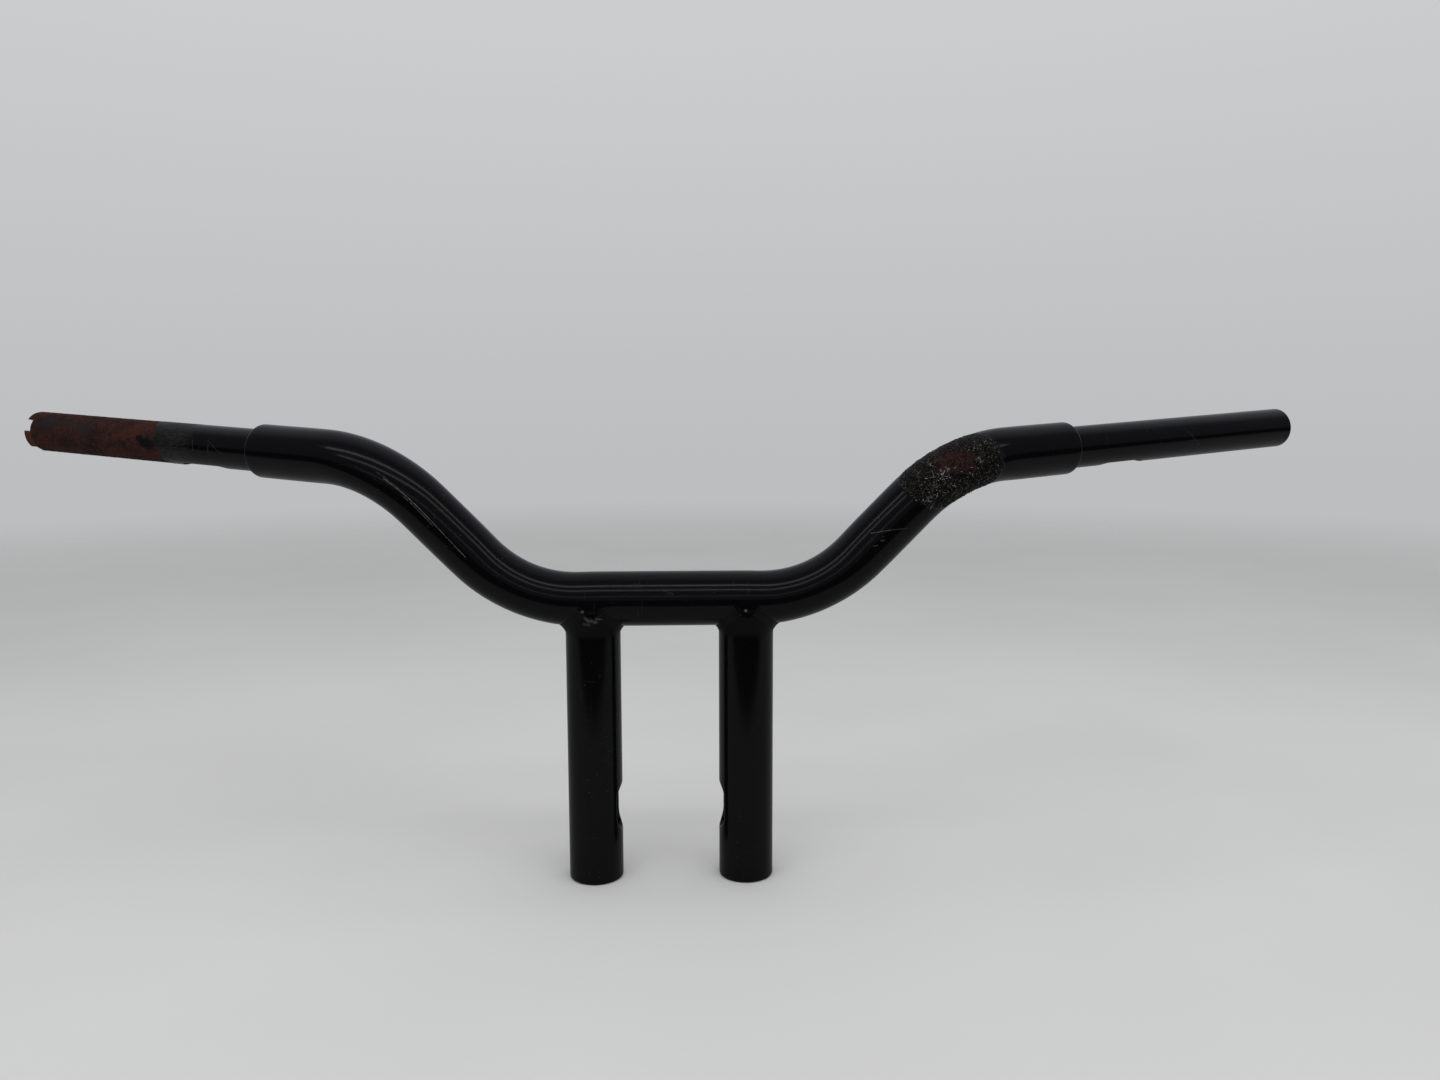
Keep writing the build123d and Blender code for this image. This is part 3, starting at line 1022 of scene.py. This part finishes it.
def makeSaddleWeld(name, side):
    mesh = newMesh()
    # closer rows near the front and the back, where the bead is widest
    turns = [math.acos(1 - share) for share in np.linspace(0, 1, 46)[:-1]]
    turns += [math.pi / 2 - step for step in (1e-4, 0.012, 0.03, 0.05)]
    across = np.linspace(0, 1, 25)
    for start in (0, math.pi):
        for half in (1, -1):
            rows = []
            for turn in sorted(turns):
                rows.append([saddlePoint(side, start + half * turn, share) for share in across])
            addGrid(mesh, rows, closed=False)
    pieceName = "saddleWeld" + name.capitalize()
    return finishPiece(mesh, pieceName, glossBlackCoat, ["saddle_weld_" + name], 60)


# Grip tubes: the slot underneath, and on the throttle side the castellated, rusty tip

wear = {
    "edgeTop": 76.5 * mm,     # bare steel starts here on top
    "edgeBottom": 69.5 * mm,
    "edgeWander": 5.0 * mm,
    "paintStep": 0.15 * mm,
    "pitDepth": 0.10 * mm,
    "scuffSpan": (34.0 * mm, 54.0 * mm),
    "blur": 12.0 * mm,
    # patches as distance from the shoulder and half length in mm, degrees and half width in degrees
    "greyStains": [(166, 9, 118, 26), (134, 8, 112, 24), (150, 12, 124, 12)],
    "darkStains": [(79, 5, 88, 15), (85, 3, 102, 9)],
    "tipStains": [(181, 4, 84, 34), (180, 4, 50, 18)],
}


def patchField(stains, distance, angle):
    strongest = 0.0
    for along, halfLength, degrees, halfWidth in stains:
        turn = (math.degrees(angle) - degrees + 180) % 360 - 180
        gap = math.hypot((distance / mm - along) / halfLength, turn / halfWidth)
        strongest = max(strongest, 1 - gap * 0.5)
    return max(0.0, strongest)


def gripColumns(name, radius):
    # angles of the columns; on the throttle side they line up with the edges of the notches
    if name == "clutch":
        return circle(grip["columns"])
    half = math.asin(grip["notchWidth"] / 2 / radius)
    angles = []
    pitch = 2 * math.pi / grip["notches"]
    for k in range(grip["notches"]):
        middle = grip["notchTurn"] + k * pitch
        angles += list(np.linspace(middle - half, middle + half, grip["notchColumns"] + 1)[:-1])
        angles += list(np.linspace(middle + half, middle + pitch - half, grip["fingerColumns"] + 1)[:-1])
    return np.array(angles)


def makeGrip(name):
    shoulder, along, down, across = gripAxis(name)
    isThrottle = name == "throttle"
    count = grip["columns"]
    tip, edge = grip["length"], grip["tipRound"]

    def surface(radius, angle, place):
        outward = down * (radius * math.cos(angle)) + across * (radius * math.sin(angle))
        return shoulder + along * place + outward

    def barePart(angle, place):
        middle = (wear["edgeTop"] + wear["edgeBottom"]) / 2
        lean = (wear["edgeTop"] - wear["edgeBottom"]) / 2 * math.cos(angle)
        wander = noise.noise(Vector((math.cos(angle), math.sin(angle), place / 0.02)) * 1.3)
        return place - (middle - lean) + wander * wear["edgeWander"]

    def wornSurface(radius, angle, place):
        if isThrottle:
            bareness = float(ease(barePart(angle, place), -0.6 * mm, 0.6 * mm))
            spot = surface(radius, angle, place)
            pits = noise.turbulence(spot / (3.0 * mm), 3, False) * wear["pitDepth"]
            radius -= bareness * (wear["paintStep"] + pits)
        return surface(radius, angle, place)

    slotHalf = grip["slotLength"] / 2
    slotMiddle = grip["slotStart"] + slotHalf
    blockLow = slotMiddle - slotHalf - grip["blockMargin"]
    blockHigh = slotMiddle + slotHalf + grip["blockMargin"]
    block = list(np.linspace(blockLow, blockHigh, grip["blockRows"] + 1))
    notchSteps = [tip - grip["notchDepth"] * share for share in (1, 0.8, 0.6, 0.4, 0.25)]
    body = list(np.linspace(blockHigh, notchSteps[0], 105 if isThrottle else 80))[1:]
    root = list(np.linspace(grip["rootGap"], blockLow, grip["rootRows"] + 1))[:-1]
    outerPlaces = root + block + body + notchSteps[1:]
    profile = [(place, gripRadius) for place in outerPlaces]
    turns = np.radians(np.arange(0, 91, 22.5))
    profile += [(tip - edge * (1 - math.sin(t)), gripRadius - edge * (1 - math.cos(t))) for t in turns]
    turnedIn = [(tip - edge * (1 - math.sin(t)), gripBore + edge * (1 - math.cos(t))) for t in turns[::-1]]
    inner = [(place, gripBore) for place in reversed(outerPlaces)]
    profile += turnedIn + inner
    spigot = gripRadius - grip["spigotStep"]
    profile += [(-grip["spigotLength"], gripBore), (-grip["spigotLength"], spigot), (grip["rootGap"], spigot)]
    profile.append(profile[0])

    rows, fields = [], {"bare": [], "scuff": [], "stain": [], "tar": [], "tipRust": []}
    for i, (place, radius) in enumerate(profile):
        isOuter = radius > (gripRadius + gripBore) / 2
        angles = gripColumns(name, gripRadius if isOuter else gripBore)
        shape = wornSurface if isOuter else surface
        rows.append([shape(radius, angle, place) for angle in angles])
        if isThrottle:
            gaps = [barePart(angle, place) if isOuter else place - wear["edgeBottom"] for angle in angles]
            fields["bare"].append([min(1, max(0, 0.5 + gap / wear["blur"])) for gap in gaps])
            fields["scuff"].append([float(ease(place, *wear["scuffSpan"]))] * count)
            for field, stains in (("stain", "greyStains"), ("tar", "darkStains"), ("tipRust", "tipStains")):
                fields[field].append([patchField(wear[stains], place, angle) for angle in angles])

    firstBlock = grip["rootRows"]
    lastBlock = firstBlock + grip["blockRows"]
    mirrorRow = len(outerPlaces) * 2 + len(turns) * 2 - 1
    outerAngles = gripColumns(name, gripRadius)
    wrapped = (outerAngles + math.pi) % (2 * math.pi) - math.pi
    blockColumns = [j for j in range(count) if abs(wrapped[j]) < grip["blockReach"]]
    blockColumns.sort(key=lambda j: wrapped[j])
    skipped = set(blockColumns[:-1])
    firstNotch = len(outerPlaces) - len(notchSteps)
    lastNotch = mirrorRow - firstNotch
    notchPitch = grip["notchColumns"] + grip["fingerColumns"]

    def keepFace(i, j):
        row = i if i < len(outerPlaces) else mirrorRow - 1 - i
        if firstBlock <= row < lastBlock and j in skipped:
            return False
        inNotch = firstNotch <= i < lastNotch and j % notchPitch < grip["notchColumns"]
        return not (isThrottle and inNotch)

    mesh = newMesh(*fields) if isThrottle else newMesh()
    addGrid(mesh, rows, keep=keepFace, marks=fields if isThrottle else None)
    hole = {
        "middle": slotMiddle,
        "halfWidth": grip["slotWidth"] / 2,
        "halfStraight": (grip["slotLength"] - grip["slotWidth"]) / 2,
        "round": grip["slotRound"],
        "innerRound": grip["slotInnerRound"],
    }

    def columns(radius):
        angles = gripColumns(name, radius)
        return [(angles[j] + math.pi) % (2 * math.pi) - math.pi for j in blockColumns]

    cutHole(mesh, surface, gripRadius, gripBore, columns, block, hole)
    if isThrottle:
        pairs = range(firstNotch, (firstNotch + lastNotch) // 2 + 1)
        for first in range(0, count, notchPitch):
            last = first + grip["notchColumns"]
            for j in (first, last):
                addGrid(mesh, [(rows[i][j], rows[mirrorRow - i][j]) for i in pairs], closed=False)
            floor = [[rows[i][j] for j in range(first, last + 1)] for i in (firstNotch, lastNotch)]
            addGrid(mesh, floor, closed=False)
    material = wornGripCoat if isThrottle else clutchGripCoat
    return finishPiece(mesh, "gripTube" + name.capitalize(), material, ["grip_tube_" + name])


# Small bead in the step between bar and grip tube

shoulderBead = {
    "reach": 2.1 * mm,
    "crown": 0.105 * mm,
    "ripple": 0.06 * mm,
    "ripples": 44,
    "columns": 176,
    "overlap": (0.2 * mm, 0.1 * mm, 0.05 * mm),     # into the bar's face, over its rounding, into the grip
}


def makeShoulderWeld(name):
    shoulder, along, down, across = gripAxis(name)
    angles = circle(shoulderBead["columns"])
    intoFace, overEdge, intoGrip = shoulderBead["overlap"]
    start = Vector((-intoFace, barRadius - bar["shoulderRound"] + overEdge))
    stop = Vector((shoulderBead["reach"], gripRadius - intoGrip))
    rows = []
    for share in np.linspace(0, 1, 9):
        base = start.lerp(stop, share)
        row = []
        for angle in angles:
            swell = math.sin(math.pi * share)
            ripple = shoulderBead["ripple"] * abs(math.sin(angle * shoulderBead["ripples"] / 2 + 0.8 * swell))
            radius = base.y + swell * (shoulderBead["crown"] + ripple)
            point = shoulder + along * (base.x + swell * ripple)
            row.append(point + down * (radius * math.cos(angle)) + across * (radius * math.sin(angle)))
        rows.append(row)
    inside = gripRadius - grip["spigotStep"]
    for place in (stop.x, start.x):
        point = shoulder + along * place
        rows.append([point + down * (inside * math.cos(a)) + across * (inside * math.sin(a)) for a in angles])
    rows.append(rows[0])
    mesh = newMesh()
    addGrid(mesh, rows)
    pieceName = "shoulderWeld" + name.capitalize()
    return finishPiece(mesh, pieceName, shoulderCoat, ["shoulder_weld_" + name], 60)


# Threaded bungs in the feet, 1/2 in bolts with 13 threads to the inch

bung = {
    "radius": riserRadius - riser["wall"] - 0.05 * mm,     # a close fit in the riser
    "pitch": 25.4 * mm / 13,
    "threadDepth": 0.95 * mm,
    "mouth": 1.1 * mm,
    "groove": 2.5 * mm,
    "bevel": 0.4 * mm,
    "columns": 72,
    "threadRows": 132,
}


def makeBung(name, side):
    angles = circle(bung["columns"])

    def threadRadiusAt(angle, height):
        phase = (height / bung["pitch"] - angle / (2 * math.pi)) % 1.0
        crest = abs(2 * phase - 1)
        depth = bung["threadDepth"] * min(1.0, max(0.0, 1.25 * crest - 0.12))
        gap = min(height, bungHeight - height)
        countersink = max(0.0, bung["mouth"] - gap)
        return threadRadius + max(depth, countersink)

    def ring(radius, height):
        return [(side * riserX + radius * math.cos(a), radius * math.sin(a), height) for a in angles]

    rows = [ring(bung["radius"] - bung["groove"], 0)]
    for height in (bung["groove"], bungHeight / 2, bungHeight - bung["bevel"]):
        rows.append(ring(bung["radius"], height))
    rows.append(ring(bung["radius"] - bung["bevel"], bungHeight))
    for height in np.linspace(bungHeight, 0, bung["threadRows"]):
        row = []
        for a in angles:
            radius = threadRadiusAt(a, height)
            row.append((side * riserX + radius * math.cos(a), radius * math.sin(a), height))
        rows.append(row)
    rows.append(rows[0])
    mesh = newMesh()
    addGrid(mesh, rows)
    return finishPiece(mesh, "bung" + name.capitalize(), machinedSteel, ["riser_bung_" + name])


# Camera

cameraSetup = {
    "place": (0.00831, -0.62043, 0.27121),
    "yaw": 0.03403,
    "pitch": 0.11349,
    "roll": -0.00239,
    "lens": 27.025,
    "sensor": 36.0,
}


def makeCamera():
    yaw, pitch, roll = cameraSetup["yaw"], cameraSetup["pitch"], cameraSetup["roll"]
    ahead = Vector((math.sin(yaw) * math.cos(pitch), math.cos(yaw) * math.cos(pitch), -math.sin(pitch)))
    level = Vector((math.cos(yaw), -math.sin(yaw), 0))
    upright = level.cross(ahead)
    right = level * math.cos(roll) + upright * math.sin(roll)
    above = upright * math.cos(roll) - level * math.sin(roll)
    data = bpy.data.cameras.new("camera")
    data.lens = cameraSetup["lens"]
    data.sensor_width = cameraSetup["sensor"]
    data.clip_start = 0.01
    data.clip_end = 60
    camera = bpy.data.objects.new("camera", data)
    bpy.context.scene.collection.objects.link(camera)
    turned = Matrix((right, above, -ahead)).transposed().to_4x4()
    camera.matrix_world = Matrix.Translation(cameraSetup["place"]) @ turned
    bpy.context.scene.camera = camera


# Studio: pale floor that fades into a pale surround, soft key, and strips that draw the highlights

studio = {
    "floorRadius": 3.4,
    "floorNear": (0.665, 0.667, 0.668, 1),
    "floorFar": (0.63, 0.64, 0.64, 1),
    "floorCloud": (0.42, 0.42, 0.42, 1),
    "toneChange": (0.15, 0.75),
    "fade": (1.1, 3.0),
    "floorReflected": 0.5,
    "unreflected": (-0.42, -0.30),      # the floor in front of this isn't mirrored in the gloss
    "surroundLow": (0.50, 0.51, 0.515, 1),
    "surroundHigh": (0.64, 0.655, 0.67, 1),
    "surroundRise": (-0.15, 0.6),
    "reflectedBright": 0.40,
    "reflectedRoom": 0.17,
    "reflectedTint": (0.96, 0.97, 1.08, 1),
    "reflectedDark": 0.012,
    "reflectedEdge": (-0.12, 0.5),      # from dark in front to bright behind
    "reflectedLean": 0.22,              # how much looking up counts as looking behind
    "roomEdge": (0.0, 0.12),
    "ambient": 0.55,
    "keyPower": 12.0,
    "keySize": 1.6,
    "keyPlace": (0.1, -0.35, 1.7),
    "strips": [(63, 0.16, 2.6), (43, 0.13, 2.2), (17, 0.04, 1.9), (3, 0.03, 0.6)],  # degrees up, width, glow
    "stripDistance": 1.7,
    "stripLength": 3.2,
}


def makeFloor():
    mesh = bmesh.new()
    rings = [[(radius * math.cos(a), radius * math.sin(a), 0) for a in circle(96)]
             for radius in np.linspace(0.02, studio["floorRadius"], 12)]
    verts = addGrid(mesh, rings)
    mesh.faces.new(verts[0])
    bmesh.ops.recalc_face_normals(mesh, faces=mesh.faces)
    data = bpy.data.meshes.new("floor")
    mesh.to_mesh(data)
    mesh.free()
    floor = bpy.data.objects.new("floor", data)
    bpy.context.scene.collection.objects.link(floor)
    material, tree, shader = startMaterial("paleFloor")
    place = addNode(tree, "NewGeometry").outputs["Position"]
    parts = addNode(tree, "SeparateXYZ", Vector=place)
    low, high = studio["toneChange"]
    tone = remap(tree, parts.outputs["Y"], low, high)
    cloud = remap(tree, grain(tree, place, 3.0, 3.0), 0.3, 0.7, 0, 0.12)
    color = blendColor(tree, tone, studio["floorNear"], studio["floorFar"])
    color = blendColor(tree, cloud, color, studio["floorCloud"])
    # the gloss reflects a darker floor than the camera sees, and none of it towards the camera's side
    path = addNode(tree, "LightPath")
    dimmed = calc(tree, "MULTIPLY", path.outputs["Is Glossy Ray"], 1 - studio["floorReflected"])
    plug(tree, shader.inputs["Base Color"], blendColor(tree, dimmed, color, (0, 0, 0, 1)))
    shader.inputs["Roughness"].default_value = 0.75
    shader.inputs["Specular IOR Level"].default_value = 0.1
    reach = addNode(tree, "VectorMath", {"operation": "LENGTH"})
    plug(tree, reach.inputs[0], place)
    near, far = studio["fade"]
    solid = remap(tree, reach.outputs["Value"], near, far, 1.0, 0.0)
    frontPart = remap(tree, parts.outputs["Y"], *studio["unreflected"], 1.0, 0.0)
    hidden = calc(tree, "MULTIPLY", path.outputs["Is Glossy Ray"], frontPart)
    solid = calc(tree, "MULTIPLY", solid, calc(tree, "SUBTRACT", 1.0, hidden))
    plug(tree, shader.inputs["Alpha"], solid)
    data.materials.append(material)


def makeSurround():
    world = bpy.data.worlds.new("surround")
    bpy.context.scene.world = world
    world.use_nodes = True
    tree = world.node_tree
    tree.nodes.clear()
    direction = addNode(tree, "TexCoord").outputs["Generated"]
    parts = addNode(tree, "SeparateXYZ", Vector=direction)
    rise = remap(tree, parts.outputs["Z"], *studio["surroundRise"])
    seen = blendColor(tree, rise, studio["surroundLow"], studio["surroundHigh"])
    # what the gloss reflects: bright behind and overhead, dark on the camera's side
    lean = calc(tree, "MULTIPLY", parts.outputs["Z"], studio["reflectedLean"])
    lean = calc(tree, "ADD", parts.outputs["Y"], lean)
    edge = studio["reflectedEdge"]
    bright = remap(tree, lean, *edge, studio["reflectedDark"], studio["reflectedBright"])
    glow = remap(tree, parts.outputs["Z"], *studio["roomEdge"], 0.0, studio["reflectedRoom"])
    bright = calc(tree, "MAXIMUM", bright, glow)
    path = addNode(tree, "LightPath")
    ambient = addNode(tree, "Background", Strength=studio["ambient"])
    ambient.inputs["Color"].default_value = (1, 1, 1, 1)
    visible = addNode(tree, "Background", Color=seen, Strength=1.0)
    mirrored = addNode(tree, "Background", Strength=bright)
    mirrored.inputs["Color"].default_value = studio["reflectedTint"]
    first = addNode(tree, "MixShader")
    tree.links.new(path.outputs["Is Camera Ray"], first.inputs[0])
    tree.links.new(ambient.outputs[0], first.inputs[1])
    tree.links.new(visible.outputs[0], first.inputs[2])
    second = addNode(tree, "MixShader")
    tree.links.new(path.outputs["Is Glossy Ray"], second.inputs[0])
    tree.links.new(first.outputs[0], second.inputs[1])
    tree.links.new(mirrored.outputs[0], second.inputs[2])
    output = addNode(tree, "OutputWorld")
    tree.links.new(second.outputs[0], output.inputs["Surface"])


def addAreaLight(name, place, target, size, power, mirrored):
    data = bpy.data.lights.new(name, "AREA")
    data.shape = "RECTANGLE"
    data.size, data.size_y = size
    data.energy = power
    lamp = bpy.data.objects.new(name, data)
    lamp.location = place
    lamp.rotation_mode = "QUATERNION"
    lamp.rotation_quaternion = (Vector(target) - Vector(place)).to_track_quat("-Z", "Y")
    lamp.visible_glossy = mirrored
    lamp.visible_camera = False
    bpy.context.scene.collection.objects.link(lamp)


def makeLights():
    target = (0, 0, barHeight)
    size = studio["keySize"]
    addAreaLight("softKey", studio["keyPlace"], target, (size * 1.4, size), studio["keyPower"], False)
    reach, length = studio["stripDistance"], studio["stripLength"]
    for index, (degrees, width, glow) in enumerate(studio["strips"]):
        angle = math.radians(degrees)
        place = (0, -reach * math.cos(angle), barHeight + reach * math.sin(angle))
        addAreaLight(f"strip{index}", place, target, (length, width), glow * math.pi * width * length, True)


makeCamera()
makeFloor()
makeSurround()
makeLights()
bpy.context.scene.view_settings.view_transform = "Standard"
print("studio ready")

# the risers' coat carries the painted highlight specks on the weld bumps
glossBlackCoat = makeGlossBlack("glossBlackCoat", weldMarksAndPaintedGlints(), hazed=True)
shoulderCoat = makeGlossBlack("shoulderWeldCoat")
clutchGripCoat = makeGlossBlack("clutchGripCoat", gripMarks("clutch"))
blisteredCoat = makeBlisteredCoat()
wornGripCoat = makeWornGripCoat()
liftedPaint = makeLiftedPaint()
machinedSteel = makeMachinedSteel()
dressedWeld = makeDressedWeld()
print("materials ready")

makeBar()
makeFlakes()
for sideName, sideSign in sides.items():
    makeGrip(sideName)
    makeShoulderWeld(sideName)
    makeRiser(sideName, sideSign)
    makeSaddleWeld(sideName, sideSign)
    makeBung(sideName, sideSign)
    weldRing = frame["nodes"]["foot_weld_" + sideName]
    weldRing.data.materials.clear()
    weldRing.data.materials.append(dressedWeld)
print("pieces ready")
